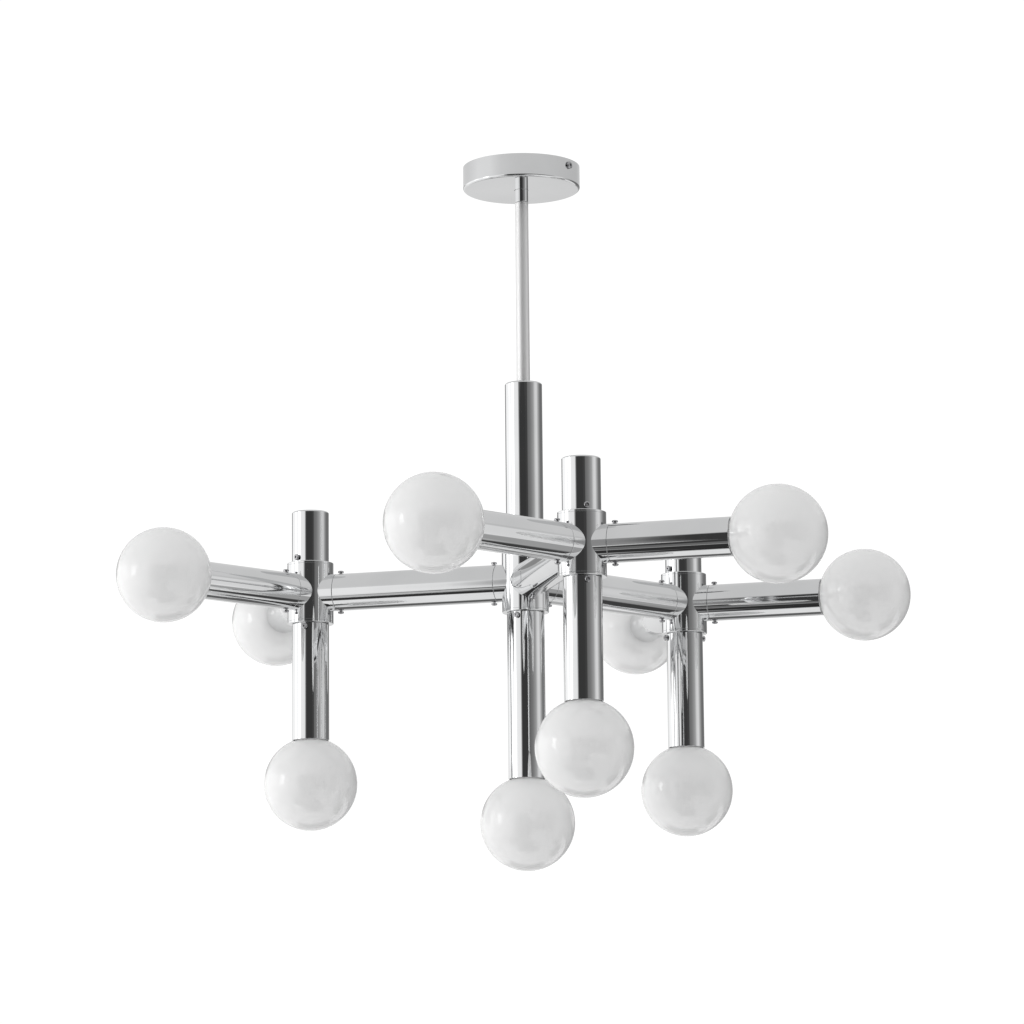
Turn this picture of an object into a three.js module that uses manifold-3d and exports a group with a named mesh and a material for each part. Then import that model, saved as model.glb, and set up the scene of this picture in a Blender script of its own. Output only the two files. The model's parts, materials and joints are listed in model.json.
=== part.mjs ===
// Chromed tube chandelier: one centre hub, three side hubs and ten opal globe lamps.
// Millimetres, +Z up. The origin is the middle of the ceiling face of the mounting bracket.

import * as THREE from 'three';
import { mergeVertices } from 'three/addons/utils/BufferGeometryUtils.js';
import Module from 'manifold-3d';

const wasm = await Module();
wasm.setup();

// Layout
const HUB_PLANE = -432;          // height of all four hubs
const LINK_REACH = 230;          // centre axis to a side hub's axis
const ARM_REACH = 193;           // hub axis to the middle of a lamp arm's globe
const SIDE_DROP = 196;           // hub plane down to the middle of a side hub's hanging globe
const CENTER_DROP = 245;         // the same under the centre hub
const STEM_HEIGHT = 205;         // hub plane up to the top of the centre stem
const TOP_TUBE_HEIGHT = 85;      // hub plane up to the closed top of a side hub's top tube
const GAP = 0.3;                 // clearance between touching pieces
const LOOSE = 0.5;               // clearance around a spigot or a lamp holder inside a tube
const PAST = 1;                  // how far a cut runs past the surface, or a joined bar into its body

// Tubes and hubs
const TUBE_RADIUS = 19;
const TUBE_WALL = 1.2;
const TUBE_BORE = TUBE_RADIUS - TUBE_WALL;
const CAP_THICKNESS = 3;
const SLEEVE_RADIUS = 23.7;
const SLEEVE_HALF = 31.6;
const STUB_REACH = 29;
const SPIGOT_RADIUS = TUBE_BORE - LOOSE;
const SPIGOT_WALL = 2;
const SPIGOT_REACH = 44;

// Tube screws, M3 button heads. Each lamp arm has two, and its hub's spigot is drilled for them.
const SCREW_RADIUS = 1.5;
const SCREW_HOLE = 1.8;
const SCREW_HEAD_RADIUS = 3;
const SCREW_HEAD_HEIGHT = 2;
const SCREW_LENGTH = 6;
const SCREW_STAND = 1.2;         // tube to the underside of the head
const HEX_RADIUS = 1.15;
const HEX_FLOOR = 0.35;          // floor of the hexagon socket, as a share of the head's height
const HEAD_TOP = 0.85;           // radius of a head's top, as a share of its widest
const SCREW_ON_STUB = 33;        // hub axis to a screw of a level tube

// Lamps
const GLOBE_RADIUS = 47.5;
const GLASS = 1.3;
const NECK_RADIUS = 16.3;
const NECK_END = -58;
const LAMP_CAP_RADIUS = 13.2;
const LAMP_CAP_START = -66;
const LAMP_CAP_END = -88;
const LAMP_END = -91;
const LAMP_END_RADIUS = 5;
const TUBE_END_BACK = 44.6;      // middle of a globe back to the end of its tube
const HOLDER_RADIUS = TUBE_BORE - LOOSE;
const HOLDER_BORE = 14;
const HOLDER_FRONT = -66;
const HOLDER_FLOOR = -92.2;
const HOLDER_BACK = -108;
const WIRE_HOLE = 3;

// Ceiling fitting
const CANOPY_RADIUS = 60;
const CANOPY_HEIGHT = 24;
const CANOPY_WALL = 1.2;
const CANOPY_EDGE = 1.2;
const CANOPY_HOLE = 7.6;
const CANOPY_SCREW_AZIMUTH = -50;
const CANOPY_SCREW_DEPTH = 7;
const CANOPY_SCREW_RADIUS = 2;
const CANOPY_HEAD_RADIUS = 3.8;
const CANOPY_HEAD_HEIGHT = 2.2;
const BRACKET_HALF = 56.2;
const BRACKET_WIDTH = 26;
const BRACKET_THICKNESS = 2;
const BRACKET_EAR = 18;
const SLOT_PLACE = 40;
const SLOT_HALF = 4;
const SLOT_RADIUS = 3.2;
const SLOT_CUT = { bottom: -6, depth: 8 };
const BOSS_RADIUS = 10;
const BOSS_DEPTH = 10;
const BLOCK = {
  place: 22, length: 17, width: 22, height: 12, ways: 3, wireHole: 2, wireRise: 1, screwHole: 1.8,
};
const ROD_RADIUS = 6.75;
const ROD_WALL = 1.2;
const ROD_FLANGE_RADIUS = 10;
const NIPPLE_RADIUS = 5;
const NIPPLE_BORE = 3.6;
const NIPPLE_ROOT = 3;           // solid stretch that joins the nipple to the rod
const COLLAR_TOP = -17;
const COLLAR_BOTTOM = -37;
const WIRE_WINDOW = 2.4;

// Facets around each kind of round piece
const FACETS = {
  tube: 20, spigot: 16, bore: 12, lamp: 16, holder: 12, canopy: 40, rod: 16, screw: 8, hole: 6,
};

const MATERIALS = {
  chrome: { color: 0xc8cacd, metalness: 1, roughness: 0.06 },
  satin: { color: 0xdcdddd, metalness: 1, roughness: 0.32 },
  opal: { color: 0xf3f3f1, metalness: 0, roughness: 0.12 },
  zinc: { color: 0xa9adaf, metalness: 1, roughness: 0.45 },
  ceramic: { color: 0xe9e6dd, metalness: 0, roughness: 0.5 },
  plastic: { color: 0xe6e6e2, metalness: 0, roughness: 0.4 },
  screw: { color: 0x55565a, metalness: 1, roughness: 0.3 },
};

const SIDE_HUBS = [
  { name: 'front', azimuth: -90, arms: ['left', 'right'] },
  { name: 'right', azimuth: 30, arms: ['front', 'back'] },
  { name: 'left', azimuth: 150, arms: ['back', 'front'] },
];
const ARM_SPREAD = 60;           // a side hub's lamp arms to either side of its own azimuth

const rad = THREE.MathUtils.degToRad;

// A closed three.js geometry as a solid
function toSolid(geometry) {
  const plain = geometry.clone();
  plain.deleteAttribute('normal');
  plain.deleteAttribute('uv');
  const merged = mergeVertices(plain);
  const corners = [];
  for (let i = 0; i < merged.index.count; i += 3) {
    const [a, b, c] = [i, i + 1, i + 2].map((k) => merged.index.getX(k));
    if (a !== b && b !== c && c !== a) corners.push(a, b, c);
  }
  return new wasm.Manifold(new wasm.Mesh({
    numProp: 3,
    vertProperties: Float32Array.from(merged.attributes.position.array),
    triVerts: Uint32Array.from(corners),
  }));
}

function toGeometry(body) {
  const { vertProperties, triVerts } = body.getMesh();
  const geometry = new THREE.BufferGeometry();
  geometry.setAttribute('position', new THREE.BufferAttribute(vertProperties, 3));
  geometry.setIndex(new THREE.BufferAttribute(triVerts, 1));
  geometry.computeVertexNormals();
  return geometry;
}

// A profile of [radius, height] points turned about Z
function turned(profile, facets) {
  const points = profile.map(([radius, height]) => new THREE.Vector2(radius, height));
  return new THREE.LatheGeometry(points, facets).rotateX(Math.PI / 2);
}

function bar(radius, from, to, facets) {
  return turned([[0, from], [radius, from], [radius, to], [0, to]], facets);
}

function ringProfile(inner, outer, from, to) {
  return [[inner, from], [outer, from], [outer, to], [inner, to], [inner, from]];
}

function mesh(name, geometry, look) {
  const made = new THREE.Mesh(geometry, new THREE.MeshStandardMaterial(MATERIALS[look]));
  made.name = name;
  return made;
}

// Frames of a limb: +Z runs outward along its tube. A level limb's screws stand on +X and -X.
function levelFrame(azimuth) {
  const outward = new THREE.Vector3(Math.cos(rad(azimuth)), Math.sin(rad(azimuth)), 0);
  const up = new THREE.Vector3(0, 0, 1);
  return new THREE.Matrix4().makeBasis(up, outward.clone().cross(up), outward);
}

function uprightFrame(sense) {
  const outward = new THREE.Vector3(0, 0, sense);
  const side = new THREE.Vector3(1, 0, 0);
  return new THREE.Matrix4().makeBasis(side, outward.clone().cross(side), outward);
}

// One hole right through a limb along its X axis
function crossHole(place) {
  const hole = bar(SCREW_HOLE, -TUBE_RADIUS - PAST, TUBE_RADIUS + PAST, FACETS.hole);
  return hole.rotateY(Math.PI / 2).translate(0, 0, place);
}

function openTube(from, to) {
  return turned(ringProfile(TUBE_BORE, TUBE_RADIUS, from, to), FACETS.tube);
}

function drilledTube(from, to) {
  return toGeometry(toSolid(openTube(from, to)).subtract(toSolid(crossHole(SCREW_ON_STUB))));
}

// A tube with its far end closed, but for a hole where it takes a rod
function closedTube(from, to, rodHole) {
  const inside = to - CAP_THICKNESS;
  const profile = [
    [rodHole, inside], [TUBE_BORE, inside], [TUBE_BORE, from],
    [TUBE_RADIUS, from], [TUBE_RADIUS, to], [rodHole, to],
  ];
  if (rodHole > 0) profile.push(profile[0]);
  return turned(profile, FACETS.tube);
}

// A hub: a cross-drilled sleeve with three level stubs, and a thin spigot inside every tube.
// The spigots of the lamp arms are drilled for their screws.
function hub(linkAzimuths, armAzimuths) {
  const limbs = [
    ...linkAzimuths.map((azimuth) => ({ frame: levelFrame(azimuth), stub: STUB_REACH, drilled: false })),
    ...armAzimuths.map((azimuth) => ({ frame: levelFrame(azimuth), stub: STUB_REACH, drilled: true })),
    { frame: uprightFrame(1), stub: 0, drilled: false },
    { frame: uprightFrame(-1), stub: 0, drilled: false },
  ];
  let body = toSolid(bar(SLEEVE_RADIUS, -SLEEVE_HALF, SLEEVE_HALF, FACETS.tube));
  for (const { frame, stub } of limbs) {
    body = body.add(toSolid(bar(SPIGOT_RADIUS, PAST, SPIGOT_REACH, FACETS.spigot).applyMatrix4(frame)));
    if (stub > 0) body = body.add(toSolid(bar(TUBE_RADIUS, PAST, stub, FACETS.tube).applyMatrix4(frame)));
  }
  for (const { frame, drilled } of limbs) {
    const bore = bar(SPIGOT_RADIUS - SPIGOT_WALL, 0, SPIGOT_REACH + PAST, FACETS.bore);
    body = body.subtract(toSolid(bore.applyMatrix4(frame)));
    if (drilled) body = body.subtract(toSolid(crossHole(SCREW_ON_STUB).applyMatrix4(frame)));
  }
  return toGeometry(body);
}

// A button head screw along +Z, its head standing on the plane Z = 0
function buttonScrew({ radius, length, headRadius, headHeight }) {
  const profile = [
    [0, -length], [radius, -length], [radius, 0], [headRadius, 0],
    [headRadius * HEAD_TOP, headHeight], [0, headHeight],
  ];
  const hex = bar(HEX_RADIUS * (radius / SCREW_RADIUS), headHeight * HEX_FLOOR, headHeight + PAST, 6);
  return toGeometry(toSolid(turned(profile, FACETS.screw)).subtract(toSolid(hex)));
}

// The glass bulb with its screw cap; its hollow opens through the end contact
function bulb() {
  const arc = (radius, to, steps) => Array.from({ length: steps + 1 }, (_, i) => {
    const angle = (i / steps) * to;
    return [radius * Math.sin(angle), radius * Math.cos(angle)];
  });
  const inner = arc(GLOBE_RADIUS - GLASS, Math.PI - Math.asin((NECK_RADIUS - GLASS) / (GLOBE_RADIUS - GLASS)), 4);
  const outer = arc(GLOBE_RADIUS, Math.PI - Math.asin(NECK_RADIUS / GLOBE_RADIUS), 7).reverse();
  const profile = [
    ...inner,
    [NECK_RADIUS - GLASS, NECK_END],
    [LAMP_CAP_RADIUS - GLASS, LAMP_CAP_START],
    [LAMP_CAP_RADIUS - GLASS, LAMP_CAP_END + GLASS],
    [LAMP_END_RADIUS - GLASS, LAMP_END],
    [LAMP_END_RADIUS, LAMP_END],
    [LAMP_CAP_RADIUS, LAMP_CAP_END],
    [LAMP_CAP_RADIUS, LAMP_CAP_START],
    [NECK_RADIUS, NECK_END],
    ...outer,
  ];
  return toGeometry(toSolid(turned(profile, FACETS.lamp)));
}

// The cup inside a tube's end that the bulb's cap screws into
function lampHolder() {
  return turned([
    [WIRE_HOLE, HOLDER_BACK], [HOLDER_RADIUS, HOLDER_BACK], [HOLDER_RADIUS, HOLDER_FRONT],
    [HOLDER_BORE, HOLDER_FRONT], [HOLDER_BORE, HOLDER_FLOOR], [WIRE_HOLE, HOLDER_FLOOR],
    [WIRE_HOLE, HOLDER_BACK],
  ], FACETS.holder);
}

function canopy() {
  const edge = CANOPY_RADIUS - CANOPY_EDGE;
  const inside = CANOPY_RADIUS - CANOPY_WALL;
  const floor = -CANOPY_HEIGHT + CANOPY_WALL;
  const shell = toSolid(turned([
    [CANOPY_HOLE, -CANOPY_HEIGHT], [edge, -CANOPY_HEIGHT],
    [CANOPY_RADIUS, -CANOPY_HEIGHT + CANOPY_EDGE], [CANOPY_RADIUS, 0],
    [inside, 0], [inside, floor], [CANOPY_HOLE, floor], [CANOPY_HOLE, -CANOPY_HEIGHT],
  ], FACETS.canopy));
  const reach = CANOPY_RADIUS + PAST;
  const holes = bar(CANOPY_SCREW_RADIUS + GAP, -reach, reach, FACETS.hole)
    .rotateY(Math.PI / 2).translate(0, 0, -CANOPY_SCREW_DEPTH).rotateZ(rad(CANOPY_SCREW_AZIMUTH));
  return toGeometry(shell.subtract(toSolid(holes)));
}

// The ceiling bracket: a strap with bent ears, two screw slots and the boss that takes the rod
function bracket() {
  const inside = BRACKET_HALF - BRACKET_THICKNESS;
  const side = new THREE.Shape([
    [-BRACKET_HALF, -BRACKET_EAR], [-inside, -BRACKET_EAR], [-inside, -BRACKET_THICKNESS],
    [inside, -BRACKET_THICKNESS], [inside, -BRACKET_EAR], [BRACKET_HALF, -BRACKET_EAR],
    [BRACKET_HALF, 0], [-BRACKET_HALF, 0],
  ].map(([x, z]) => new THREE.Vector2(x, z)));
  const strap = new THREE.ExtrudeGeometry(side, { depth: BRACKET_WIDTH, bevelEnabled: false })
    .rotateX(Math.PI / 2).translate(0, BRACKET_WIDTH / 2, 0);
  let body = toSolid(strap);
  body = body.add(toSolid(bar(BOSS_RADIUS, -BOSS_DEPTH, -PAST, FACETS.tube)));
  body = body.subtract(toSolid(bar(NIPPLE_RADIUS + GAP, -BOSS_DEPTH - PAST, -BRACKET_THICKNESS, FACETS.rod)));
  for (const sign of [-1, 1]) {
    const slot = new THREE.Shape()
      .absarc(-SLOT_HALF, 0, SLOT_RADIUS, Math.PI / 2, Math.PI * 1.5)
      .absarc(SLOT_HALF, 0, SLOT_RADIUS, -Math.PI / 2, Math.PI / 2);
    const cut = new THREE.ExtrudeGeometry(slot, { depth: SLOT_CUT.depth, bevelEnabled: false, curveSegments: 5 })
      .translate(sign * SLOT_PLACE, 0, SLOT_CUT.bottom);
    body = body.subtract(toSolid(cut));
  }
  const earHole = bar(CANOPY_SCREW_RADIUS, -BRACKET_HALF - PAST, BRACKET_HALF + PAST, FACETS.hole)
    .rotateY(Math.PI / 2).translate(0, 0, -CANOPY_SCREW_DEPTH);
  const keep = bar(BOSS_RADIUS + PAST, -BRACKET_EAR, 0, FACETS.tube);
  body = body.subtract(toSolid(earHole).subtract(toSolid(keep)));
  return toGeometry(body);
}

// The screw terminal block that joins the supply wires to the lamp wires
function terminalBlock() {
  const { length, width, height, ways, wireHole, wireRise, screwHole } = BLOCK;
  let body = toSolid(new THREE.BoxGeometry(length, width, height));
  const pitch = width / ways;
  for (let way = 0; way < ways; way += 1) {
    const y = (way - (ways - 1) / 2) * pitch;
    const wire = bar(wireHole, -length, length, FACETS.hole).rotateY(Math.PI / 2).translate(0, y, wireRise);
    body = body.subtract(toSolid(wire));
    for (const sign of [-1, 1]) {
      const screw = bar(screwHole, -height, 0, FACETS.hole).translate(sign * length / 4, y, 0);
      body = body.subtract(toSolid(screw));
    }
  }
  return toGeometry(body);
}

// The hanging rod: a flange inside the stem's top, and a thin threaded nipple in the bracket's boss
function rod() {
  const stemTop = HUB_PLANE + STEM_HEIGHT;
  const foot = stemTop - CAP_THICKNESS - GAP;
  const shoulder = COLLAR_BOTTOM - GAP;
  const bore = ROD_RADIUS - ROD_WALL;
  const nippleTop = -BRACKET_THICKNESS - GAP;
  const shell = toSolid(turned([
    [bore, foot - CAP_THICKNESS], [ROD_FLANGE_RADIUS, foot - CAP_THICKNESS], [ROD_FLANGE_RADIUS, foot],
    [ROD_RADIUS, foot], [ROD_RADIUS, shoulder], [NIPPLE_RADIUS, shoulder],
    [NIPPLE_RADIUS, nippleTop], [NIPPLE_BORE, nippleTop], [NIPPLE_BORE, shoulder - NIPPLE_ROOT],
    [bore, shoulder - NIPPLE_ROOT], [bore, foot - CAP_THICKNESS],
  ], FACETS.rod));
  const windowHeight = (COLLAR_TOP - BOSS_DEPTH) / 2;
  const wireWindow = bar(WIRE_WINDOW, 0, ROD_RADIUS + PAST, FACETS.hole)
    .rotateY(Math.PI / 2).translate(0, 0, windowHeight).rotateZ(rad(CANOPY_SCREW_AZIMUTH));
  return toGeometry(shell.subtract(toSolid(wireWindow)));
}

function rodCollar() {
  return turned(ringProfile(NIPPLE_RADIUS + GAP, ROD_RADIUS, COLLAR_BOTTOM, COLLAR_TOP), FACETS.rod);
}

function limbGroup(position, frame) {
  const group = new THREE.Group();
  group.position.copy(position);
  group.quaternion.setFromRotationMatrix(frame);
  return group;
}

// A lamp on a tube: the tube, the lamp holder inside its end, and the bulb
function lampLimb(name, tube, position, frame, reach) {
  const group = limbGroup(position, frame);
  const holder = mesh(`lamp_holder_${name}`, lampHolder(), 'ceramic');
  const glass = mesh(`bulb_${name}`, bulb(), 'opal');
  holder.position.z = reach;
  glass.position.z = reach;
  group.add(tube, holder, glass);
  return group;
}

function dropLimb(name, position, reach) {
  const tube = mesh(`drop_tube_${name}`, openTube(SLEEVE_HALF + GAP, reach - TUBE_END_BACK), 'chrome');
  return lampLimb(`${name}_drop`, tube, position, uprightFrame(-1), reach);
}

function armLimb(name, position, azimuth) {
  const tube = mesh(`arm_tube_${name}`, drilledTube(STUB_REACH + GAP, ARM_REACH - TUBE_END_BACK), 'chrome');
  const limb = lampLimb(name, tube, position, levelFrame(azimuth), ARM_REACH);
  const size = {
    radius: SCREW_RADIUS, length: SCREW_LENGTH, headRadius: SCREW_HEAD_RADIUS, headHeight: SCREW_HEAD_HEIGHT,
  };
  [['top', 1], ['bottom', -1]].forEach(([end, sign]) => {
    const screw = mesh(`arm_screw_${name}_${end}`, buttonScrew(size), 'screw');
    screw.rotation.y = sign * Math.PI / 2;
    screw.position.set(sign * (TUBE_RADIUS + SCREW_STAND), 0, SCREW_ON_STUB);
    limb.add(screw);
  });
  return limb;
}

function hubMesh(name, position, linkAzimuths, armAzimuths) {
  const body = mesh(`hub_${name}`, hub(linkAzimuths, armAzimuths), 'chrome');
  body.position.copy(position);
  return body;
}

function sideHub({ name, azimuth, arms }) {
  const group = new THREE.Group();
  const vertical = new THREE.Vector3(0, 0, 1);
  const place = new THREE.Vector3(LINK_REACH, 0, HUB_PLANE).applyAxisAngle(vertical, rad(azimuth));
  const armAzimuths = [azimuth - ARM_SPREAD, azimuth + ARM_SPREAD];
  group.add(hubMesh(name, place, [azimuth + 180], armAzimuths));

  const link = limbGroup(new THREE.Vector3(0, 0, HUB_PLANE), levelFrame(azimuth));
  const linkEnd = STUB_REACH + GAP;
  link.add(mesh(`link_tube_${name}`, openTube(linkEnd, LINK_REACH - linkEnd), 'chrome'));
  const top = limbGroup(place, uprightFrame(1));
  top.add(mesh(`top_tube_${name}`, closedTube(SLEEVE_HALF + GAP, TOP_TUBE_HEIGHT, 0), 'chrome'));
  group.add(link, top, dropLimb(name, place, SIDE_DROP));
  armAzimuths.forEach((armAzimuth, i) => group.add(armLimb(`${name}_${arms[i]}`, place, armAzimuth)));
  return group;
}

function centerHub() {
  const group = new THREE.Group();
  const place = new THREE.Vector3(0, 0, HUB_PLANE);
  const stem = limbGroup(place, uprightFrame(1));
  stem.add(mesh('stem_tube', closedTube(SLEEVE_HALF + GAP, STEM_HEIGHT, ROD_RADIUS + GAP), 'chrome'));
  group.add(hubMesh('center', place, SIDE_HUBS.map((side) => side.azimuth), []), stem);
  group.add(dropLimb('center', place, CENTER_DROP));
  return group;
}

function ceilingFitting() {
  const group = new THREE.Group();
  const strap = mesh('mounting_bracket', bracket(), 'zinc');
  const block = mesh('terminal_block', terminalBlock(), 'plastic');
  strap.rotation.z = rad(CANOPY_SCREW_AZIMUTH);
  block.position.set(BLOCK.place, 0, -BRACKET_THICKNESS - GAP - BLOCK.height / 2);
  const turnedBlock = new THREE.Group();
  turnedBlock.rotation.z = rad(CANOPY_SCREW_AZIMUTH);
  turnedBlock.add(block);
  group.add(mesh('canopy', canopy(), 'chrome'), strap, turnedBlock);
  group.add(mesh('rod', rod(), 'satin'), mesh('rod_collar', rodCollar(), 'chrome'));

  const size = {
    radius: CANOPY_SCREW_RADIUS,
    length: CANOPY_RADIUS - BRACKET_HALF,
    headRadius: CANOPY_HEAD_RADIUS,
    headHeight: CANOPY_HEAD_HEIGHT,
  };
  [['right', 0], ['left', 180]].forEach(([name, turn]) => {
    const azimuth = rad(CANOPY_SCREW_AZIMUTH + turn);
    const screw = mesh(`canopy_screw_${name}`, buttonScrew(size), 'screw');
    const place = CANOPY_RADIUS + GAP;
    screw.rotation.set(0, Math.PI / 2, azimuth, 'ZYX');
    screw.position.set(place * Math.cos(azimuth), place * Math.sin(azimuth), -CANOPY_SCREW_DEPTH);
    group.add(screw);
  });
  return group;
}

const chandelier = new THREE.Group();
chandelier.add(ceilingFitting(), centerHub(), ...SIDE_HUBS.map(sideHub));

export default chandelier;
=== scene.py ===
"""The looks of the chromed tube chandelier, in metres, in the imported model's own frame.

Every chromed piece, bulb and screw is a turned profile with exact normals, so that the long
reflections run straight. A hub is a real union of turned solids.
"""

import json
import math

import bpy
from mathutils import Matrix, Vector


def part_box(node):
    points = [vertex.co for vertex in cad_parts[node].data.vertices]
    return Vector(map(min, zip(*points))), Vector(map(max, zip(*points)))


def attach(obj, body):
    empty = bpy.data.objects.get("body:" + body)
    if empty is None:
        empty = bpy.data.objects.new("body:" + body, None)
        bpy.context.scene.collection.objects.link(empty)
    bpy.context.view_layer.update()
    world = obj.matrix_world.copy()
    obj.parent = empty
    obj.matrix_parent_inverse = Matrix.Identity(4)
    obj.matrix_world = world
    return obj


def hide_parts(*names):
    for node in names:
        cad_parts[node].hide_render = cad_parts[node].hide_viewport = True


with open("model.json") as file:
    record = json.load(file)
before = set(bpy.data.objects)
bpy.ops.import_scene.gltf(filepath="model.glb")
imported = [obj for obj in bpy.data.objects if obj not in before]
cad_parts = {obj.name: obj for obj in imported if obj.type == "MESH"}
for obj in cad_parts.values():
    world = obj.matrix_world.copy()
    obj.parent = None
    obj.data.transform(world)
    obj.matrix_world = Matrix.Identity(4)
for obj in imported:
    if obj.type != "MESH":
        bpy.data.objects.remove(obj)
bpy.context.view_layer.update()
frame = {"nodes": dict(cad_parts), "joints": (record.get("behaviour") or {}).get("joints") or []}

MM = 0.001

# Sizes that the frame's boxes don't give, in millimetres
TUBE_WALL = 1.2
STUB_REACH = 29.0
SPIGOT_RADIUS = 17.3
SPIGOT_REACH = 44.0
SLEEVE_RADIUS = 23.7
SLEEVE_HALF = 31.6
GAP = 0.3
TUBE_END_BACK = 44.6
SCREW_ON_STUB = 33.0
SCREW_ON_SLEEVE = 36.0
GLOBE_RADIUS = 47.5

SIDES = 128
ROD_SIDES = 96
HOLDER_SIDES = 64
SCREW_SIDES = 48
ARC_STEPS = 5

# Which way the screws of each upright tube are turned, in degrees
UPRIGHT_SCREWS = {
    "stem_tube": -90,
    "top_tube_front": -90,
    "top_tube_left": -144,
    "top_tube_right": -155,
    "drop_tube_front": -90,
    "drop_tube_left": -118,
    "drop_tube_right": 180,
    "drop_tube_center": -130,
}


# ---------------------------------------------------------------- places from the frame


def middle(node):
    low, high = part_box(node)
    return (low + high) / 2


HUB_PLANE = middle("link_tube_front").z
HUBS = {}
for hub_name in ("center", "front", "right", "left"):
    drop = middle(f"drop_tube_{hub_name}")
    HUBS[hub_name] = Vector((drop.x, drop.y, HUB_PLANE))
TUBE_RADIUS = (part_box("drop_tube_center")[1].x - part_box("drop_tube_center")[0].x) / 2 / MM
LAMPS = {
    joint["child"][len("bulb_"):]: (Vector(joint["pos_m"]), Vector(joint["axis"]))
    for joint in frame["joints"]
    if joint["child"].startswith("bulb_")
}


def limb(origin, outward, side):
    """The matrix of a limb's own millimetre frame: +Z outward, +X towards its first screw."""
    z = outward.normalized()
    x = (side - z * side.dot(z)).normalized()
    y = z.cross(x)
    turn = Matrix((x, y, z)).transposed().to_4x4()
    return Matrix.Translation(origin) @ turn @ Matrix.Diagonal((MM, MM, MM, 1))


UP = Vector((0, 0, 1))


def compass(degrees):
    angle = math.radians(degrees)
    return Vector((math.cos(angle), math.sin(angle), 0))


# ---------------------------------------------------------------- profiles


def outline(points, rounding=None, closed=True):
    """Runs of (point, normal) pairs along a profile of (radius, height) points.

    The outside is on the right of the path. rounding gives the fillet radius of a point by its index.
    """
    rounding = rounding or {}
    count = len(points)
    corners = []
    for i, point in enumerate(points):
        here = Vector(point)
        radius = rounding.get(i, 0)
        if not radius:
            corners.append((here, here, None))
            continue
        back = (Vector(points[i - 1]) - here).normalized()
        ahead = (Vector(points[(i + 1) % count]) - here).normalized()
        half = back.angle(ahead) / 2
        setback = radius / math.tan(half)
        centre = here + (back + ahead).normalized() * (radius / math.sin(half))
        first, last = here + back * setback, here + ahead * setback
        left_turn = back.y * ahead.x - back.x * ahead.y > 0
        spokes = [first - centre, last - centre]
        sweep = spokes[0].angle(spokes[1]) * (1 if left_turn else -1)
        arc = []
        for step in range(ARC_STEPS + 1):
            spoke = spokes[0].copy()
            spoke.rotate(Matrix.Rotation(sweep * step / ARC_STEPS, 2))
            normal = spoke.normalized() * (1 if left_turn else -1)
            arc.append((tuple(centre + spoke), tuple(normal)))
        corners.append((first, last, arc))
    runs = []
    for i in range(count if closed else count - 1):
        start, end = corners[i][1], corners[(i + 1) % count][0]
        if corners[i][2]:
            runs.append(corners[i][2])
        along = (end - start).normalized()
        normal = (along.y, -along.x)
        runs.append([(tuple(start), normal), (tuple(end), normal)])
    return runs


def ring(inner, outer, start, end):
    return [(inner, start), (outer, start), (outer, end), (inner, end)]


def arc_run(centre, radius, start, end, steps):
    """A run along a circle, from one angle to another, in degrees from the +radius direction."""
    run = []
    for step in range(steps + 1):
        angle = math.radians(start + (end - start) * step / steps)
        normal = (math.cos(angle), math.sin(angle))
        run.append(((centre[0] + radius * normal[0], centre[1] + radius * normal[1]), normal))
    return run


# ---------------------------------------------------------------- meshes


class Skin:
    """A mesh in the making: corner points, faces, and the exact normal of every face corner."""

    def __init__(self):
        self.points = []
        self.faces = []
        self.normals = []
        self.looks = []

    def ring(self, radius, height, sides):
        """The indices of one ring of points; a ring on the axis is one point. radius may be a function."""
        if not callable(radius) and abs(radius) < 1e-9:
            self.points.append(Vector((0, 0, height)))
            return [len(self.points) - 1] * sides
        first = len(self.points)
        for i in range(sides):
            angle = 2 * math.pi * i / sides
            r = radius(angle) if callable(radius) else radius
            self.points.append(Vector((r * math.cos(angle), r * math.sin(angle), height)))
        return list(range(first, first + sides))

    def band(self, low, high, sides, low_normal=None, high_normal=None, look=0):
        """The faces between two rings. With no normals given, each face is flat."""
        for i in range(sides):
            j = (i + 1) % sides
            corners = [low[i], low[j], high[j], high[i]]
            turns = [i, i + 1, i + 1, i]
            pairs = [low_normal, low_normal, high_normal, high_normal]
            kept = [k for k in range(4) if corners[k] != corners[k - 1]]
            face = [corners[k] for k in kept]
            if low_normal is None:
                a, b, c = (self.points[p] for p in face[:3])
                normals = [(b - a).cross(c - a).normalized()] * len(face)
            else:
                normals = []
                for k in kept:
                    angle = 2 * math.pi * turns[k] / sides
                    out, along = pairs[k]
                    normals.append(Vector((out * math.cos(angle), out * math.sin(angle), along)).normalized())
            self.faces.append(face)
            self.normals.extend(normals)
            self.looks.append(look)

    def turn(self, runs, sides=SIDES, look=0):
        """Turns a profile's runs about Z."""
        rings = {}

        def ring_at(point):
            key = (round(point[0], 6), round(point[1], 6))
            if key not in rings:
                rings[key] = self.ring(point[0], point[1], sides)
            return rings[key]

        for run in runs:
            for (low, low_normal), (high, high_normal) in zip(run, run[1:]):
                self.band(ring_at(low), ring_at(high), sides, low_normal, high_normal, look)
        return self

    def placed(self, matrix):
        """A copy of this skin, moved by a matrix."""
        moved = Skin()
        turn = matrix.to_quaternion()
        moved.points = [matrix @ p for p in self.points]
        moved.normals = [turn @ n for n in self.normals]
        moved.faces = [list(f) for f in self.faces]
        moved.looks = list(self.looks)
        return moved

    def add(self, other):
        first = len(self.points)
        self.points.extend(other.points)
        self.faces.extend([p + first for p in face] for face in other.faces)
        self.normals.extend(other.normals)
        self.looks.extend(other.looks)

    def mesh(self, name, materials):
        made = bpy.data.meshes.new(name)
        made.from_pydata(self.points, [], self.faces)
        for material in materials:
            made.materials.append(material)
        made.polygons.foreach_set("material_index", self.looks)
        made.shade_smooth()
        made.normals_split_custom_set(self.normals)
        made.update()
        return made


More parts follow.
